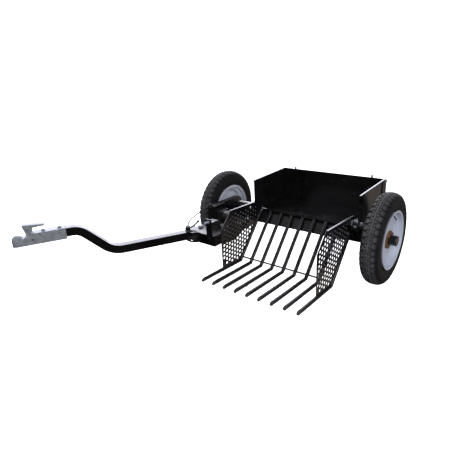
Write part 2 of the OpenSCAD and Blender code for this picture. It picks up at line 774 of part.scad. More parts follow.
module side_plate(x, flange_x) {
  plate_x(x - plate_t / 2, plate_t) difference() {
    union() {
      polygon(plate_points);
      circle(40);
    }
    translate(bend) circle(tine_r);
    translate(bend) rotate(leg_angle) translate([0, -30]) square([400, 30 + tine_r]);
    translate(bend) rotate(180 + asin((bend[1] - tip[1]) / norm(tip - bend)))
      translate([0, -tine_r]) square([400, 30 + tine_r]);
    plate_holes();
  }
  top = plate_points[0];
  front = plate_points[1];
  translate([0, top[0], top[1]]) rotate([atan2(front[1] - top[1], front[0] - top[0]) - 180, 0, 0])
    block(min(x, flange_x), max(x, flange_x), -norm(front - top), 0, -plate_t, 0);
}

module side_plate_left() color(black) on_bucket() side_plate(tine_x1, tine_x1 + 10);

module side_plate_right() color(black) on_bucket() side_plate(tine_x0, tine_x0 - 10);

// Long shaft on the right: welded boss, bearing journal and sprocket seat
module pivot_shaft() color(steel) on_bucket() {
  rod_x(shaft_r, chain_x - 12, tine_x0 - plate_t / 2);
  difference() {
    rod_x(20, tine_x0 - plate_t / 2 - 8, tine_x0 - plate_t / 2);
    rod_x(shaft_r, -300, -200);
  }
}

module pivot_stub() color(zinc) on_bucket() {
  rod_x(shaft_r, tine_x1 + plate_t / 2, 478);
  difference() {
    rod_x(20, tine_x1 + plate_t / 2, tine_x1 + plate_t / 2 + 8);
    rod_x(shaft_r, 380, 480);
  }
}

// ---- Hopper ----

module hopper_floor() color(black) on_frame() {
  block(hopper_x0 + sheet, hopper_x1 - sheet, -8, hopper_y1, floor_z, floor_z + sheet);
  for (x = [-60, 110, 250]) block(x, x + 30, 40, 180, floor_z - 12, floor_z);
}

// Side sheet with a notch over the bucket shaft
module hopper_side(x) {
  difference() {
    plate_x(x, sheet) polygon([[hopper_y0, hopper_z1], [hopper_y0, 354], [-74, 354], [-74, 366], [-30, 366],
      [-30, 332], [-8, floor_z], [hopper_y1 + 3.5, floor_z], [hopper_y1 + 3.5, hopper_z1]]);
    for (y = [30 : 90 : 210]) rod_x(3.2, x - 1, x + sheet + 1, y, floor_z + 16);
  }
}

module hopper_hem(x0, x1) block(x0, x1, hopper_y0, hopper_y1, hopper_z1 - 6, hopper_z1);

module hopper_side_left() color(black) on_frame() {
  hopper_side(hopper_x1 - sheet);
  hopper_hem(hopper_x1, hopper_x1 + 6);
}

module hopper_side_right() color(black) on_frame() {
  hopper_side(hopper_x0);
  hopper_hem(hopper_x0 - 6, hopper_x0);
}

module hopper_hinges() color(black) on_frame()
  for (x = [-170.5, -119.5, 310, 361]) difference() {
    plate_x(x, 18.5) {
      polygon([[hinge_y - 18, floor_z], [hinge_y - 13, hinge_z], [hinge_y + 13, hinge_z],
        [hinge_y + 18, floor_z]]);
      translate([hinge_y, hinge_z]) circle(13);
    }
    rod_x(8 + fit_gap, x - 1, x + 20, hinge_y, hinge_z);
  }

// Corner posts behind the side sheets
module hopper_posts() color(black) on_frame()
  for (x = [hopper_x0 - 5, hopper_x1]) difference() {
    block(x, x + 5, hopper_y1 - 34, gate_y + 12, floor_z, hopper_z1 - 6);
    rod_x(6 + fit_gap, x - 1, x + 6, gate_y, gate_z);
  }

// Gate hangs from its pins at the top and swings out at the bottom
module tailgate() color(black) on_frame() difference() {
  union() {
    block(hopper_x0 + sheet + 0.5, hopper_x1 - sheet - 0.5, hopper_y1 + 0.5, hopper_y1 + 3.5, floor_z - 6,
      hopper_z1);
    for (x = gate_ears) plate_x(x, 8) {
      translate([gate_y, gate_z]) circle(11);
      polygon([[hopper_y1 + 3.5, gate_z - 22], [hopper_y1 + 3.5, gate_z + 8], [gate_y, gate_z + 11],
        [gate_y + 10, gate_z - 4]]);
    }
    for (x = [-150, 195, 345]) block(x, x + 30, hopper_y1 + 3.5, hopper_y1 + 9.5, floor_z + 20, gate_z - 30);
  }
  for (x = gate_ears) rod_x(6 + fit_gap, x - 1, x + 9, gate_y, gate_z);
}

// Cranked hinge pins: each can be pulled out to take the gate off
module tailgate_pins() color(zinc) on_frame() {
  for (side = [0, 1]) {
    x0 = side ? 372 : hopper_x0 - 12;
    x1 = side ? hopper_x1 + 12 : -165;
    crank = side ? x0 : x1;
    rod_x(6, x0, x1, gate_y, gate_z);
    translate([crank, gate_y, gate_z]) sphere(r = 6, $fn = 32);
    translate([crank, gate_y, gate_z]) cylinder(r = 6, h = 30);
  }
}

axle_beam();
side_rail();
rear_arms();
swing_plate_top();
swing_plate_bottom();
swing_pin();
bearing_brackets();
pillow_block_right();
pillow_block_left();
bearing_bolts();
hopper_rests();
hopper_hinge_pin();
spindle_left();
spindle_right();
spindle_nuts();
drive_case();
case_cover();
gear_motor();
roller_chain();
front_post();
motor_relay();
power_socket();
supply_cable();
cable_gland();
cable_eye();
tongue_tube();
swing_bush();
coupler_body();
coupler_bolts();
clamp_bolt();
clamp_handle();
latch_lever();
latch_pin();
ball_jaw();
bucket_header();
bucket_tines();
cross_rod();
side_plate_left();
side_plate_right();
pivot_shaft();
pivot_stub();
driven_sprocket();
drive_sprocket();
tyre_left();
rim_left();
hub_left();
hub_cap_left();
tyre_right();
rim_right();
hub_right();
hub_cap_right();
hopper_floor();
hopper_side_left();
hopper_side_right();
hopper_hinges();
hopper_posts();
tailgate();
tailgate_pins();
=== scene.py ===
"""Looks of the tow-behind pick-up cart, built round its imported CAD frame. Metres, +Z up, -Y forward."""

import json
import math

import bmesh
import bpy
from mathutils import Matrix, Vector


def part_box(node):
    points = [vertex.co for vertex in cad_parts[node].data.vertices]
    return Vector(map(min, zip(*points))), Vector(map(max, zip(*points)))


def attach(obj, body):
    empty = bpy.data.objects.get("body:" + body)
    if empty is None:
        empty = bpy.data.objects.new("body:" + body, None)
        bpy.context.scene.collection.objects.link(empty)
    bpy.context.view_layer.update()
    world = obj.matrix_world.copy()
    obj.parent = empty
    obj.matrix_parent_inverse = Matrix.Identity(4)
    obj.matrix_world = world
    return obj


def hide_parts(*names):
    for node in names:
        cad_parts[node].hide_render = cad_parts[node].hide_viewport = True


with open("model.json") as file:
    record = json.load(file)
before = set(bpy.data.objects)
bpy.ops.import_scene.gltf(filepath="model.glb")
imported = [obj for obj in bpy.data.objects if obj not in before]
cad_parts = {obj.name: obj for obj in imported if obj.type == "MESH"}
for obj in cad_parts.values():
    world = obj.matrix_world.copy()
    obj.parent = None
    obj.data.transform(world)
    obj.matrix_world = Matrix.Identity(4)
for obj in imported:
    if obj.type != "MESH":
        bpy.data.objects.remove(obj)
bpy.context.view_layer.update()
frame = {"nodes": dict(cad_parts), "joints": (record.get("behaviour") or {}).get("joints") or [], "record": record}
NODES = frame["nodes"]
JOINTS = {j["name"]: j for j in frame["joints"]}
SLOT_OF = {s["node"]: s["material_slot"] for s in frame["record"]["subparts"]}

MM = 0.001


# ---- Places: the level frame that the cart is designed in, the bucket's pivot and the wheels ----


def joint_point(name):
    return Vector(JOINTS[name]["pos_m"])


def joint_axis(name):
    return Vector(JOINTS[name]["axis"]).normalized()


def axes_matrix(x_axis, z_axis, origin):
    """Matrix whose columns are a right-handed frame with the given X and Z directions."""
    y_axis = z_axis.cross(x_axis).normalized()
    m = Matrix((x_axis, y_axis, z_axis)).transposed().to_4x4()
    m.translation = origin
    return m


UP = joint_axis("tongue_swing")
AXLE = (joint_point("left_wheel_spin") + joint_point("right_wheel_spin")) / 2
AXLE_HEIGHT = AXLE.z
LEVEL = axes_matrix(Vector((1, 0, 0)), UP, AXLE) @ Matrix.Translation((0, 0, -AXLE_HEIGHT))
PIVOT = Matrix.Translation(Vector((AXLE.x, *joint_point("bucket_lift")[1:])))


def wheel_matrix(side):
    """A wheel's frame: its Z points outward from the cart, its X down."""
    name = "left_wheel_spin" if side > 0 else "right_wheel_spin"
    turn = Matrix.Rotation(math.pi / 2 * side, 4, "Y")
    return Matrix.Translation(joint_point(name)) @ turn


# ---- Camera ----

CAMERA_AZIMUTH = math.radians(38.887)
CAMERA_ELEVATION = math.radians(16.801)
CAMERA_ROLL = math.radians(0.079)
CAMERA_FROM_AXLE = Vector((1.2542, -2.2822, 1.0107))
CAMERA_LENS_MM = 33.0
CAMERA_SENSOR_MM = 36


def add_camera():
    data = bpy.data.cameras.new("camera")
    data.lens = CAMERA_LENS_MM
    data.sensor_width = CAMERA_SENSOR_MM
    camera = bpy.data.objects.new("camera", data)
    bpy.context.scene.collection.objects.link(camera)
    camera.location = Vector((AXLE.x, AXLE.y, 0)) + CAMERA_FROM_AXLE
    az, el = CAMERA_AZIMUTH, CAMERA_ELEVATION
    forward = Vector((-math.sin(az) * math.cos(el), math.cos(az) * math.cos(el), -math.sin(el)))
    turn = forward.to_track_quat("-Z", "Y").to_matrix().to_4x4() @ Matrix.Rotation(CAMERA_ROLL, 4, "Z")
    camera.rotation_mode = "QUATERNION"
    camera.rotation_quaternion = turn.to_quaternion()
    bpy.context.scene.camera = camera


add_camera()


# ---- Mesh helpers ----


def new_piece(name, bm, matrix, body, slot, smooth_angle=40, stands_for=()):
    """A mesh piece in a local frame (millimetres), placed by matrix, that rides on a CAD body."""
    bm.transform(Matrix.Scale(MM, 4))
    bmesh.ops.recalc_face_normals(bm, faces=bm.faces)
    mesh = bpy.data.meshes.new(name)
    bm.to_mesh(mesh)
    bm.free()
    for p in mesh.polygons:
        p.use_smooth = True
    mesh.set_sharp_from_angle(angle=math.radians(smooth_angle))
    mesh.materials.append(material(slot))
    piece = bpy.data.objects.new(name, mesh)
    bpy.context.scene.collection.objects.link(piece)
    piece.matrix_world = matrix
    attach(piece, body)
    if stands_for:
        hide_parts(*stands_for)
    return piece


def revolve(bm, profile, steps, closed=False, place=Matrix()):
    """Turns a profile of (radius, z) round Z. A closed profile makes a ring-shaped solid."""
    rings = []
    for k in range(steps):
        a = 2 * math.pi * k / steps
        points = [Vector((r * math.cos(a), r * math.sin(a), z)) for r, z in profile]
        rings.append([bm.verts.new(place @ p) for p in points])
    last = len(profile) if closed else len(profile) - 1
    for k in range(steps):
        here, there = rings[k], rings[(k + 1) % steps]
        for i in range(last):
            j = (i + 1) % len(profile)
            bm.faces.new((here[i], there[i], there[j], here[j]))


def facing(point, axis):
    """Matrix that puts local Z along an axis, at a point."""
    turn = Vector(axis).to_track_quat("Z", "Y").to_matrix().to_4x4()
    return Matrix.Translation(Vector(point)) @ turn


def sweep(bm, path, radius, sides=8):
    """Round bar along a path; radius is a number or a function of the ring's index."""
    rings = []
    for k, p in enumerate(path):
        along = (path[min(k + 1, len(path) - 1)] - path[max(k - 1, 0)]).normalized()
        turn = along.to_track_quat("Z", "Y").to_matrix()
        r = radius(k) if callable(radius) else radius
        rings.append([bm.verts.new(p + turn @ Vector((r * math.cos(a), r * math.sin(a), 0)))
                      for a in [2 * math.pi * i / sides for i in range(sides)]])
    for here, there in zip(rings, rings[1:]):
        for i in range(sides):
            j = (i + 1) % sides
            bm.faces.new((here[i], here[j], there[j], there[i]))
    bm.faces.new(reversed(rings[0]))
    bm.faces.new(rings[-1])


def local_box(name, matrix):
    """A CAD node's box in a local frame, in millimetres: (low corner, high corner)."""
    node = NODES[name]
    back = matrix.inverted() @ node.matrix_world
    points = [back @ v.co for v in node.data.vertices]
    low = Vector([min(p[i] for p in points) for i in range(3)]) / MM
    high = Vector([max(p[i] for p in points) for i in range(3)]) / MM
    return low, high


# ---- Materials ----

MATERIALS = {}


def shader(name):
    """New node material: returns (node tree, Principled node)."""
    mat = bpy.data.materials.new(name)
    mat.use_nodes = True
    MATERIALS[name] = mat
    tree = mat.node_tree
    return tree, tree.nodes["Principled BSDF"]


def noise_node(tree, scale, detail=4.0, roughness=0.55, stretch=(1, 1, 1)):
    coords = tree.nodes.new("ShaderNodeTexCoord")
    mapping = tree.nodes.new("ShaderNodeMapping")
    mapping.inputs["Scale"].default_value = stretch
    noise = tree.nodes.new("ShaderNodeTexNoise")
    noise.inputs["Scale"].default_value = scale
    noise.inputs["Detail"].default_value = detail
    noise.inputs["Roughness"].default_value = roughness
    tree.links.new(coords.outputs["Object"], mapping.inputs["Vector"])
    tree.links.new(mapping.outputs["Vector"], noise.inputs["Vector"])
    return noise


def ramp_node(tree, source, stops):
    ramp = tree.nodes.new("ShaderNodeValToRGB")
    elements = ramp.color_ramp.elements
    while len(elements) < len(stops):
        elements.new(0.5)
    for element, (place, colour) in zip(elements, stops):
        element.position = place
        element.color = (*colour, 1) if len(colour) == 3 else colour
    tree.links.new(source, ramp.inputs["Fac"])
    return ramp


def range_node(tree, source, low, high, from_low=0.3, from_high=0.7):
    node = tree.nodes.new("ShaderNodeMapRange")
    node.inputs["From Min"].default_value = from_low
    node.inputs["From Max"].default_value = from_high
    node.inputs["To Min"].default_value = low
    node.inputs["To Max"].default_value = high
    tree.links.new(source, node.inputs["Value"])
    return node


def bump_node(tree, source, shade, strength, distance):
    node = tree.nodes.new("ShaderNodeBump")
    node.inputs["Strength"].default_value = strength
    node.inputs["Distance"].default_value = distance
    tree.links.new(source, node.inputs["Height"])
    tree.links.new(node.outputs["Normal"], shade.inputs["Normal"])
    return node


def mix_colour(tree, fac, a, b):
    """Mixes two colours, or colour sockets, by a factor socket."""
    node = tree.nodes.new("ShaderNodeMix")
    node.data_type = "RGBA"
    tree.links.new(fac, node.inputs["Factor"])
    for socket, value in (("A", a), ("B", b)):
        target = next(s for s in node.inputs if s.name == socket and s.type == "RGBA")
        if isinstance(value, (tuple, list)):
            target.default_value = (*value, 1)
        else:
            tree.links.new(value, target)
    return next(s for s in node.outputs if s.type == "RGBA")


def paint_material(name, dark, light, roughness, coat):
    """Powder coat: orange-peel bump, faint dust, and a lighter film where it is thin or rubbed."""
    tree, shade = shader(name)
    patches = noise_node(tree, 9, 5)
    peel = noise_node(tree, 900, 2)
    dust = ramp_node(tree, patches.outputs["Fac"], [(0.35, dark), (0.8, light)])
    tree.links.new(dust.outputs["Color"], shade.inputs["Base Color"])
    spread = range_node(tree, patches.outputs["Fac"], *roughness)
    tree.links.new(spread.outputs["Result"], shade.inputs["Roughness"])
    shade.inputs["Coat Weight"].default_value = coat
    shade.inputs["Coat Roughness"].default_value = 0.12
    shade.inputs["IOR"].default_value = 1.6
    bump_node(tree, peel.outputs["Fac"], shade, 0.12, 0.0004)


def frame_paint():
    paint_material("frame_paint", (0.0015, 0.0015, 0.0018), (0.004, 0.004, 0.0046), (0.2, 0.3), 0.1)


def sheet_paint():
    """Smooth gloss coat on the hopper's sheets: it mirrors the dark inside of the box."""
    paint_material("sheet_paint", (0.0015, 0.0015, 0.0018), (0.004, 0.004, 0.0044), (0.14, 0.26), 0.4)


def motor_black():
    paint_material("motor_black", (0.005, 0.005, 0.0055), (0.011, 0.011, 0.012), (0.34, 0.48), 0.1)


def cap_black():
    paint_material("cap_black", (0.004, 0.004, 0.0044), (0.008, 0.008, 0.009), (0.1, 0.16), 0.8)


def rim_paint():
    """Silver-grey wheel paint with faint road dust."""
    tree, shade = shader("rim_paint")
    patches = noise_node(tree, 14, 5)
    colour = ramp_node(tree, patches.outputs["Fac"], [(0.3, (0.40, 0.43, 0.52)), (0.75, (0.48, 0.51, 0.60))])
    tree.links.new(colour.outputs["Color"], shade.inputs["Base Color"])
    spread = range_node(tree, patches.outputs["Fac"], 0.3, 0.45)
    tree.links.new(spread.outputs["Result"], shade.inputs["Roughness"])
    shade.inputs["Metallic"].default_value = 0.25
    bump_node(tree, noise_node(tree, 500, 2).outputs["Fac"], shade, 0.08, 0.0004)


def metal_material(name, dark, light, roughness, spangle, metallic=1.0):
    """Bare or plated steel with drawn or crystalline variation."""
    tree, shade = shader(name)
    patches = noise_node(tree, spangle, 6, 0.6)
    colour = ramp_node(tree, patches.outputs["Fac"], [(0.3, dark), (0.72, light)])
    tree.links.new(colour.outputs["Color"], shade.inputs["Base Color"])
    spread = range_node(tree, patches.outputs["Fac"], *roughness)
    tree.links.new(spread.outputs["Result"], shade.inputs["Roughness"])
    shade.inputs["Metallic"].default_value = metallic
    shade.inputs["Specular IOR Level"].default_value = 0.3
    bump_node(tree, noise_node(tree, 380, 4).outputs["Fac"], shade, 0.1, 0.0003)


def zinc():
    metal_material("zinc", (0.17, 0.19, 0.215), (0.30, 0.32, 0.35), (0.3, 0.45), 45, 0.4)


def bare_steel():
    metal_material("bare_steel", (0.30, 0.29, 0.28), (0.48, 0.47, 0.46), (0.3, 0.5), 40)


def bearing_cast():
    metal_material("bearing_cast", (0.10, 0.103, 0.108), (0.26, 0.265, 0.28), (0.38, 0.6), 25)


def hub_iron():
    """Brown primer that is breaking out in rust."""
    tree, shade = shader("hub_iron")
    patches = noise_node(tree, 55, 8, 0.65)
    rust = [(0.3, (0.045, 0.024, 0.015)), (0.55, (0.12, 0.06, 0.034)), (0.8, (0.2, 0.105, 0.06))]
    colour = ramp_node(tree, patches.outputs["Fac"], rust)
    tree.links.new(colour.outputs["Color"], shade.inputs["Base Color"])
    spread = range_node(tree, patches.outputs["Fac"], 0.55, 0.85)
    tree.links.new(spread.outputs["Result"], shade.inputs["Roughness"])
    bump_node(tree, noise_node(tree, 260, 6, 0.7).outputs["Fac"], shade, 0.5, 0.0008)


def rubber():
    tree, shade = shader("rubber")
    patches = noise_node(tree, 30, 5)
    greys = [(0.3, (0.010, 0.010, 0.011)), (0.8, (0.022, 0.022, 0.023))]
    colour = ramp_node(tree, patches.outputs["Fac"], greys)
    tree.links.new(colour.outputs["Color"], shade.inputs["Base Color"])
    spread = range_node(tree, patches.outputs["Fac"], 0.5, 0.68)
    tree.links.new(spread.outputs["Result"], shade.inputs["Roughness"])
    bump_node(tree, noise_node(tree, 700, 3).outputs["Fac"], shade, 0.15, 0.0003)


def tyre():
    """Tyre rubber: dark sidewalls and a greyer tread, told apart by distance from the wheel's axis."""
    tree, shade = shader("tyre")
    coords = tree.nodes.new("ShaderNodeTexCoord")
    flat = tree.nodes.new("ShaderNodeVectorMath")
    flat.operation = "MULTIPLY"
    flat.inputs[1].default_value = (1, 1, 0)
    reach = tree.nodes.new("ShaderNodeVectorMath")
    reach.operation = "LENGTH"
    tree.links.new(coords.outputs["Object"], flat.inputs[0])
    tree.links.new(flat.outputs["Vector"], reach.inputs[0])
    crown = range_node(tree, reach.outputs["Value"], 0, 1, TYRE_R - 0.016, TYRE_R - 0.001)
    patches = noise_node(tree, 22, 7, 0.6)
    tread_greys = [(0.25, (0.03, 0.03, 0.032)), (0.8, (0.075, 0.075, 0.08))]
    wall_greys = [(0.25, (0.004, 0.004, 0.0045)), (0.8, (0.010, 0.010, 0.011))]
    tread = ramp_node(tree, patches.outputs["Fac"], tread_greys)
    wall = ramp_node(tree, patches.outputs["Fac"], wall_greys)
    colour = mix_colour(tree, crown.outputs["Result"], wall.outputs["Color"], tread.outputs["Color"])
    tree.links.new(colour, shade.inputs["Base Color"])
    spread = range_node(tree, patches.outputs["Fac"], 0.5, 0.78)
    tree.links.new(spread.outputs["Result"], shade.inputs["Roughness"])
    shade.inputs["Specular IOR Level"].default_value = 0.22
    bump_node(tree, noise_node(tree, 420, 5, 0.6).outputs["Fac"], shade, 0.25, 0.0005)


TYRE_LOW, TYRE_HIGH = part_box("tyre_left")
TYRE_R = (TYRE_HIGH.z - TYRE_LOW.z) / 2

MAKERS = [frame_paint, sheet_paint, motor_black, cap_black, rim_paint, zinc, bare_steel, bearing_cast,
          hub_iron, rubber, tyre]
for make in MAKERS:
    make()


def material(slot):
    return MATERIALS[slot]


# ---- Tyres ----

TREAD_PITCHES = 44
TREAD_DEPTH = 6.5
SECTION_POWER = 0.8
BEAD_SETBACK = 12


def tyre_section():
    """Outer tyre surface as a function of the angle round the section: (radius, z) in millimetres."""
    width = (TYRE_HIGH.x - TYRE_LOW.x) / MM
    outer = TYRE_R / MM
    rim_low, rim_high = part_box("rim_left")
    bead = (rim_high.z - rim_low.z) / 2 / MM - BEAD_SETBACK
    mid = (outer + bead) / 2 - 1

    def point(degrees, sink=0.0):
        s, c = math.sin(math.radians(degrees)), math.cos(math.radians(degrees))
        high = outer - mid - sink
        wide = width / 2 - sink
        return (mid + math.copysign(abs(s) ** SECTION_POWER, s) * high,
                math.copysign(abs(c) ** SECTION_POWER, c) * wide)

    return point, bead


def arc_table(point):
    """Section angles against the distance along the tread from its centre, in millimetres."""
    table, reach = [(0.0, 90.0)], 0.0
    last = point(90)
    for k in range(1, 700):
        angle = 90 - k * 0.1
        here = point(angle)
        reach += math.dist(last, here)
        last = here
        table.append((reach, angle))
    return table


def tread_block(bm, point, table, outline, centre):
    """One tread block with an eased edge, from an outline of (along, across) millimetres."""
    outer = TYRE_R / MM
    middle = (sum(p[0] for p in outline) / len(outline), sum(p[1] for p in outline) / len(outline))

    def place(p, sink):
        angle = angle_at(table, abs(p[1]))
        angle = angle if p[1] >= 0 else 180 - angle
        r, z = point(angle, sink)
        turn = centre + p[0] / outer
        return bm.verts.new((r * math.cos(turn), r * math.sin(turn), z))

    def shrink(p, k):
        return (middle[0] + (p[0] - middle[0]) * k, middle[1] + (p[1] - middle[1]) * k)

    foot = [place(shrink(p, 1.05), TREAD_DEPTH + 1) for p in outline]
    rim = [place(p, 1.0) for p in outline]
    crest = [place(shrink(p, 0.93), 0.0) for p in outline]
    hub = place(middle, 0.0)
    n = len(outline)
    for k in range(n):
        m = (k + 1) % n
        bm.faces.new((foot[k], foot[m], rim[m], rim[k]))
        bm.faces.new((rim[k], rim[m], crest[m], crest[k]))
        bm.faces.new((crest[k], crest[m], hub))


def angle_at(table, reach):
    low, high = 0, len(table) - 1
    while high - low > 1:
        mid = (low + high) // 2
        if table[mid][0] > reach:
            high = mid
        else:
            low = mid
    (r0, a0), (r1, a1) = table[low], table[high]
    return a0 + (a1 - a0) * (reach - r0) / (r1 - r0)


def tyre_mesh():
    point, bead = tyre_section()
    table = arc_table(point)
    bm = bmesh.new()
    # Carcass: grooves at full depth under the tread, rings moulded on the sidewalls
    profile = []
    for k in range(151):
        angle = -60 + k * 2
        lean = abs(angle - 90)
        under = min(1.0, max(0.0, (66 - lean) / 7))
        ring = 1.2 * math.exp(-((lean - 92) / 2.5) ** 2) + 1.5 * math.exp(-((lean - 128) / 3) ** 2)
        r, z = point(angle, TREAD_DEPTH * under + 1.2 - ring)
        if r >= bead + 1:
            profile.append((r, z))
    revolve(bm, profile, 192)
    pitch = 2 * math.pi * TYRE_R / MM / TREAD_PITCHES
    step = 2 * math.pi / TREAD_PITCHES
    lug = pitch * 0.35
    for k in range(TREAD_PITCHES):
        for side in (-1, 1):
            shift = 0.25 * step * side
            # Shoulder block with a round inner end
            rounded = [(lug * math.cos(a), 33 - 12 * math.sin(a)) for a in
                       [math.pi * j / 10 for j in range(11)]]
            flank = [(-lug, 43), (-lug * 0.94, 55), (0, 57), (lug * 0.94, 55), (lug, 43)]
            outline = [(x, y * side) for x, y in rounded + flank]
            tread_block(bm, point, table, outline, k * step + shift)
            # Small slanted blocks beside the rib
            for half in (0, 0.5):
                outline = [(x, y * side) for x, y in [(-5.5, 9), (4, 8), (6.5, 13), (4, 18), (-3.5, 17)]]
                tread_block(bm, point, table, outline, (k + half) * step + shift)
    wavy_rib(bm, point, table, step)
    return bm


def wavy_rib(bm, point, table, step):
    """Continuous zigzag rib round the middle of the tread."""
    half, sway, parts = 4.2, 2.6, 12
    foot = TREAD_DEPTH + 1
    section = [(-half - 1, foot), (-half, 0.8), (-half + 1, 0), (half - 1, 0), (half, 0.8), (half + 1, foot)]
    rings = []
    for k in range(TREAD_PITCHES * parts):
        phase = (k % parts) / parts
        offset = sway * (4 * abs(phase - 0.5) - 1)
        turn = k * step / parts
        ring = []
        for across, sink in section:
            v = across + offset
            angle = angle_at(table, abs(v))
            r, z = point(angle if v >= 0 else 180 - angle, sink)
            ring.append(bm.verts.new((r * math.cos(turn), r * math.sin(turn), z)))
        rings.append(ring)
    for k, here in enumerate(rings):
        there = rings[(k + 1) % len(rings)]
        for i in range(len(section) - 1):
            bm.faces.new((here[i], there[i], there[i + 1], here[i + 1]))


for side, name in ((1, "left"), (-1, "right")):
    new_piece(f"tread_tyre_{name}", tyre_mesh(), wheel_matrix(side), f"{name}_wheel", "tyre", 35,
              [f"tyre_{name}"])


# ---- CAD nodes that stay: finish by slot, eased edges ----

EASE_MM = {
    "axle_beam": 3.0, "side_rail": 4.0, "tongue_tube": 4.0, "rear_arms": 2.0, "hopper_rests": 1.0,
    "coupler_body": 0.8, "tailgate": 0.6, "hopper_side_left": 0.8, "hopper_side_right": 0.8,
}
EASE_DEFAULT_MM = 0.5
NO_EASE = {"supply_cable", "roller_chain", "drive_sprocket", "driven_sprocket"}


def ease_edges(node, width_mm):
    """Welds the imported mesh, joins its flat triangles and rounds its edges, all as modifiers."""
    weld = node.modifiers.new("weld", "WELD")
    weld.merge_threshold = 0.00001
    flat = node.modifiers.new("flat", "DECIMATE")
    flat.decimate_type = "DISSOLVE"
    flat.angle_limit = math.radians(0.5)
    ease = node.modifiers.new("ease", "BEVEL")
    ease.width = width_mm * MM
    ease.segments = 2 if width_mm < 2 else 4
    ease.limit_method = "ANGLE"
    ease.angle_limit = math.radians(32)
    even = node.modifiers.new("even", "WEIGHTED_NORMAL")
    even.keep_sharp = True


for name, node in NODES.items():
    if node.hide_render:
        continue
    node.data.materials.clear()
    node.data.materials.append(material(SLOT_OF[name]))
    packed_normals = node.data.attributes.get("custom_normal")
    if packed_normals:
        node.data.attributes.remove(packed_normals)
    for p in node.data.polygons:
        p.use_smooth = True
    if name in NO_EASE:
        node.data.set_sharp_from_angle(angle=math.radians(35))
    else:
        ease_edges(node, EASE_MM.get(name, EASE_DEFAULT_MM))


# ---- Fasteners, welds and fittings, in millimetres ----

SHEET = 3
HEM = 6
HOPPER_BOLT_Y = (30, 120, 210)
HOPPER_BOLT_UP = 28
GATE_BOLTS = [(-135, 40), (-135, 150), (168, 78), (198, 179), (115, 158), (270, 102), (360, 45), (360, 150)]
PLATE = 3
BOSS_WELD_RADIUS = 21
TINES = 9
LEG_ANGLE = math.radians(52.5)
ARM_WIDTH = 30
ARM_HEIGHT = 40
BEAD_STEP = 2.4


def dome_bolt(bm, point, axis, radius=7.0):
    """Carriage bolt head: a low dome on a washer."""
    dome = [(0.01, 3.8), (radius * 0.45, 3.4), (radius * 0.8, 2.3), (radius, 0.9), (radius, 0.7),
            (radius * 1.35, 0.7), (radius * 1.35, -0.4)]
    revolve(bm, dome, 20, place=facing(point, axis))


def hex_bolt(bm, point, axis, across=10.0, height=5.0):
    """Hexagon head with a chamfered top on a round flange."""
    place = facing(point, axis)
    corner = across / 2 / math.cos(math.pi / 6)
    head = [(0.01, height), (corner * 0.86, height), (corner, height * 0.86), (corner, 0.8)]
    flange = [(corner * 0.9, 1.0), (corner * 1.2, 1.0), (corner * 1.28, 0.6), (corner * 1.28, -0.3)]
    revolve(bm, head, 6, place=place)
    revolve(bm, flange, 24, place=place)


def line(a, b):
    """Points from a to b, one weld ripple apart."""
    count = max(2, round((b - a).length / BEAD_STEP))
    return [a.lerp(b, k / count) for k in range(count + 1)]


def weld(bm, a, b, radius=2.6):
    """Weld bead between two points, with the ripples of the passes."""
    path = line(Vector(a), Vector(b))
    last = len(path) - 1
    sweep(bm, path, lambda k: radius * (0.55 if k in (0, last) else 1.0 + 0.13 * (-1) ** k), 8)


def ring_weld(bm, point, axis, radius, bead=2.4):
    """Weld bead round a boss."""
    place = facing(point, axis)
    steps = max(24, round(2 * math.pi * radius / BEAD_STEP / 2) * 2)
    for k in range(steps):
        ends = [place @ Vector((radius * math.cos(a), radius * math.sin(a), 0))
                for a in (2 * math.pi * k / steps, 2 * math.pi * (k + 1) / steps)]
        sweep(bm, ends, lambda i, k=k: bead * (1.12 if (k + i) % 2 else 0.9), 6)


def add_hopper_bolts():
    """Bolt heads over the side sheets' holes, on both faces. A sheet's box reaches out to its hem."""
    bolt_z = local_box("hopper_floor", LEVEL)[0].z + HOPPER_BOLT_UP
    bm = bmesh.new()
    for name, out in (("hopper_side_left", 1), ("hopper_side_right", -1)):
        low, high = local_box(name, LEVEL)
        outer = high.x - HEM if out > 0 else low.x + HEM
        inner = outer - out * SHEET
        for y in HOPPER_BOLT_Y:
            dome_bolt(bm, (outer, y, bolt_z), (out, 0, 0))
            dome_bolt(bm, (inner, y, bolt_z), (-out, 0, 0))
    new_piece("hopper_bolts", bm, LEVEL, "hopper", "sheet_paint")


def add_gate_bolts():
    """Bolt heads on the tailgate's inner face, each at (x, height over the gate's lower edge)."""
    low = local_box("tailgate", LEVEL)[0]
    bm = bmesh.new()
    for x, up in GATE_BOLTS:
        dome_bolt(bm, (x, low.y, low.z + up), (0, -1, 0), 5.0)
    new_piece("gate_bolts", bm, LEVEL, "gate", "sheet_paint")


def add_tine_welds():
    """Two runs of bead down each side of a tine, where it lies on the header."""
    low, high = local_box("bucket_tines", PIVOT)
    plate_low, plate_high = local_box("bucket_header", PIVOT)
    along = Vector((0, math.cos(LEG_ANGLE), math.sin(LEG_ANGLE)))
    out = Vector((0, -math.sin(LEG_ANGLE), math.cos(LEG_ANGLE)))
    radius = (high.x - low.x - (plate_high.x - plate_low.x)) / 2 - 1.5
    top = Vector((0, plate_high.y, plate_high.z)) - along * 22 - out * 4
    bm = bmesh.new()
    for i in range(TINES):
        x = low.x + radius + (high.x - low.x - 2 * radius) * i / (TINES - 1)
        for side in (-1, 1):
            if plate_low.x + 4 < x + side * 6 < plate_high.x - 4:
                start = top + Vector((x + side * 5.5, 0, 0))
                weld(bm, start, start - along * 26, 2.4)
                weld(bm, start - along * 46, start - along * 70, 2.4)
    new_piece("tine_welds", bm, PIVOT, "bucket", "frame_paint")


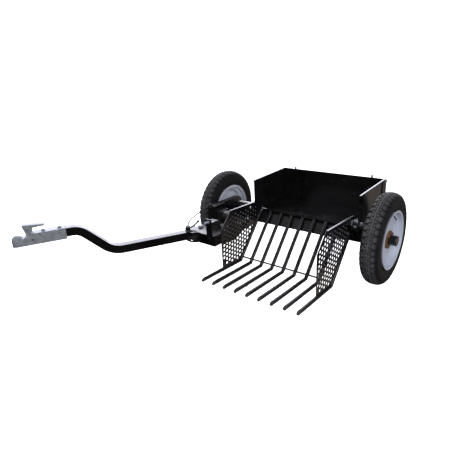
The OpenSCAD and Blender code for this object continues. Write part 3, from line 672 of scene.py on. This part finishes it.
def add_boss_welds():
    """Beads round the shaft bosses, on the side plates' outer faces."""
    bm = bmesh.new()
    for name, out in (("side_plate_left", 1), ("side_plate_right", -1)):
        low, high = local_box(name, PIVOT)
        face = low.x + PLATE if out > 0 else high.x - PLATE
        ring_weld(bm, (face, 0, 0), (1, 0, 0), BOSS_WELD_RADIUS)
    new_piece("boss_welds", bm, PIVOT, "bucket", "frame_paint")


def add_frame_welds():
    """Beads where the rail meets the beam, the swing plates and the front post, and the arms the beam."""
    rail_low, rail_high = local_box("side_rail", LEVEL)
    beam_low, beam_high = local_box("axle_beam", LEVEL)
    arm_low, arm_high = local_box("rear_arms", LEVEL)
    post_low, post_high = local_box("front_post", LEVEL)
    bm = bmesh.new()
    y = beam_low.y
    for x in (rail_low.x, rail_high.x):
        weld(bm, (x, y, rail_low.z + 3), (x, y, rail_high.z - 3))
    weld(bm, (rail_low.x + 3, y, rail_high.z), (rail_high.x - 3, y, rail_high.z))
    y = beam_high.y
    for x in (arm_low.x, arm_low.x + ARM_WIDTH, arm_high.x - ARM_WIDTH, arm_high.x):
        weld(bm, (x, y, arm_low.z + 2), (x, y, arm_low.z + ARM_HEIGHT - 2))
    for x in (arm_low.x, arm_high.x - ARM_WIDTH):
        for z in (arm_low.z, arm_low.z + ARM_HEIGHT):
            weld(bm, (x + 2, y, z), (x + ARM_WIDTH - 2, y, z))
    for z in (rail_low.z, rail_high.z):
        for x in (rail_low.x, rail_high.x):
            for k in range(3):
                start = rail_low.y + 14 + k * 40
                weld(bm, (x, start, z), (x, start + 24, z), 2.2)
    for x in (post_low.x + 6, post_high.x):
        weld(bm, (x, rail_low.y, rail_low.z + 25), (x, rail_low.y, rail_high.z - 4), 2.2)
    new_piece("frame_welds", bm, LEVEL, "frame", "frame_paint")


def add_case_screws():
    low, high = local_box("drive_case", LEVEL)
    bm = bmesh.new()
    front = low.y + 10
    top = high.z - 12
    spots = [(front, low.z + 10), (front, (low.z + high.z) / 2), (front, top), (low.y + 75, top + 1),
             (low.y + 150, top), (low.y + 110, low.z + 12), (high.y - 40, top)]
    for y, z in spots:
        hex_bolt(bm, (low.x, y, z), (-1, 0, 0), 8, 4)
    new_piece("case_screws", bm, LEVEL, "frame", "zinc")


def add_grease_nipples():
    bm = bmesh.new()
    for name in ("pillow_block_left", "pillow_block_right"):
        low, high = local_box(name, LEVEL)
        mid = (low + high) / 2
        profile = [(0.01, 9), (1.4, 9), (2.2, 7.6), (1.5, 6.2), (1.8, 5), (3.6, 4.6), (3.6, 1), (4.2, -1)]
        revolve(bm, profile, 12, place=facing((mid.x, mid.y, high.z), (0, 0, 1)))
    new_piece("grease_nipples", bm, LEVEL, "frame", "zinc")


def add_valves():
    """Rubber valve stem with a black cap, through the hole in each rim's outer seat."""
    for side, name in ((1, "left"), (-1, "right")):
        low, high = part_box(f"rim_{name}")
        seat = (high.z - low.z) / 2 / MM - 16
        route = [(-1, 38), (6, 38), (12, 39), (18, 42), (23, 46), (28, 50.5)]
        bends = [Vector((-seat + d, 0, z)) for d, z in route]
        widths = [4.8, 4.6, 4.0, 3.4, 3.2, 3.0]
        bm = bmesh.new()
        sweep(bm, bends, lambda k, w=widths: w[k], 14)
        new_piece(f"valve_stem_{name}", bm, wheel_matrix(side), f"{name}_wheel", "rubber")
        bm = bmesh.new()
        cap = [(0.01, 9), (2.6, 9), (3.3, 8.2), (3.3, 0), (2.4, -1)]
        revolve(bm, cap, 14, place=facing(bends[-1], bends[-1] - bends[-2]))
        new_piece(f"valve_cap_{name}", bm, wheel_matrix(side), f"{name}_wheel", "cap_black")


add_hopper_bolts()
add_gate_bolts()
add_tine_welds()
add_boss_welds()
add_frame_welds()
add_case_screws()
add_grease_nipples()
add_valves()


# ---- Floor and studio light ----

STAGE_RADIUS = 9.0
COVE_RADIUS = 2.5
STAGE_WALL = 9.0
STAGE_GLOW = 1.1
SKY_FRONT = 0.25
SKY_BEHIND = 4.5
GLOW_FLOOR = 0.02
GLOW_PEAK = 0.4


def add_stage():
    """A pale round floor that sweeps up into a wall; it glows for the camera only, to be evenly white."""
    bm = bmesh.new()
    cove = [(STAGE_RADIUS + COVE_RADIUS * math.sin(a), COVE_RADIUS * (1 - math.cos(a)))
            for a in [math.pi / 2 * k / 12 for k in range(13)]]
    profile = [(0.01, 0), (3, 0), *cove, (STAGE_RADIUS + COVE_RADIUS, STAGE_WALL)]
    revolve(bm, profile, 72)
    mesh = bpy.data.meshes.new("floor")
    bm.to_mesh(mesh)
    bm.free()
    for p in mesh.polygons:
        p.use_smooth = True
    floor = bpy.data.objects.new("floor", mesh)
    bpy.context.scene.collection.objects.link(floor)
    floor.location = (AXLE.x, 0, -0.0005)
    mat = bpy.data.materials.new("floor")
    mat.use_nodes = True
    shade = mat.node_tree.nodes["Principled BSDF"]
    shade.inputs["Base Color"].default_value = (0.85, 0.85, 0.86, 1)
    shade.inputs["Roughness"].default_value = 0.9
    shade.inputs["Specular IOR Level"].default_value = 0.1
    shade.inputs["Emission Color"].default_value = (1, 1, 1, 1)
    shade.inputs["Emission Strength"].default_value = STAGE_GLOW
    mesh.materials.append(mat)
    floor.visible_diffuse = False
    floor.visible_glossy = False
    floor.visible_shadow = False


def add_area(name, place, target, size, power, colour=(1, 1, 1)):
    data = bpy.data.lights.new(name, "AREA")
    data.shape = "RECTANGLE"
    data.size, data.size_y = size
    data.energy = power
    data.color = colour
    light = bpy.data.objects.new(name, data)
    bpy.context.scene.collection.objects.link(light)
    light.location = place
    light.rotation_mode = "QUATERNION"
    light.rotation_quaternion = (Vector(target) - Vector(place)).to_track_quat("-Z", "Y")
    light.visible_camera = False
    return light


def add_light():
    """Bright sky behind the cart over a dark ground, with a warm glow low at the right of the picture."""
    world = bpy.data.worlds.new("studio")
    bpy.context.scene.world = world
    world.use_nodes = True
    tree = world.node_tree
    coords = tree.nodes.new("ShaderNodeTexCoord")
    parts = tree.nodes.new("ShaderNodeSeparateXYZ")
    tree.links.new(coords.outputs["Generated"], parts.inputs["Vector"])

    def towards(direction):
        dot = tree.nodes.new("ShaderNodeVectorMath")
        dot.operation = "DOT_PRODUCT"
        dot.inputs[1].default_value = Vector(direction).normalized()
        tree.links.new(coords.outputs["Generated"], dot.inputs[0])
        return dot.outputs["Value"]

    height = range_node(tree, parts.outputs["Z"], 0, 1, -1, 1)
    sky = ramp_node(tree, height.outputs["Result"], [
        (0.0, (0.01, 0.01, 0.01)), (0.5, (0.02, 0.02, 0.022)), (0.53, (0.86, 0.87, 0.98)),
        (0.75, (0.86, 0.87, 0.98)), (1.0, (0.4, 0.4, 0.42))])
    strength = range_node(tree, towards((-0.78, 0.63, 0)), SKY_FRONT, SKY_BEHIND, 0.35, 0.85)
    back = tree.nodes["Background"]
    tree.links.new(sky.outputs["Color"], back.inputs["Color"])
    tree.links.new(strength.outputs["Result"], back.inputs["Strength"])
    fill = tree.nodes.new("ShaderNodeBackground")
    fill.inputs["Color"].default_value = (1, 0.86, 0.76, 1)
    amount = range_node(tree, towards((0.72, 0.6, -0.35)), GLOW_FLOOR, GLOW_PEAK, 0.72, 1)
    tree.links.new(amount.outputs["Result"], fill.inputs["Strength"])
    both = tree.nodes.new("ShaderNodeAddShader")
    tree.links.new(back.outputs["Background"], both.inputs[0])
    tree.links.new(fill.outputs["Background"], both.inputs[1])
    tree.links.new(both.outputs["Shader"], tree.nodes["World Output"].inputs["Surface"])
    add_area("overhead", (-1.4, 0.4, 4.0), (0, 0, 0), (3, 3), 70)
    add_area("right", (4.0, -1.8, 2.2), (0, 0.3, 0.2), (2.5, 2.0), 40)
    front = add_area("front", (3.0, -3.2, 2.2), (0, 0.2, 0.2), (3, 2), 270)
    front.visible_glossy = False


bpy.context.scene.view_settings.view_transform = "Standard"
add_stage()
add_light()
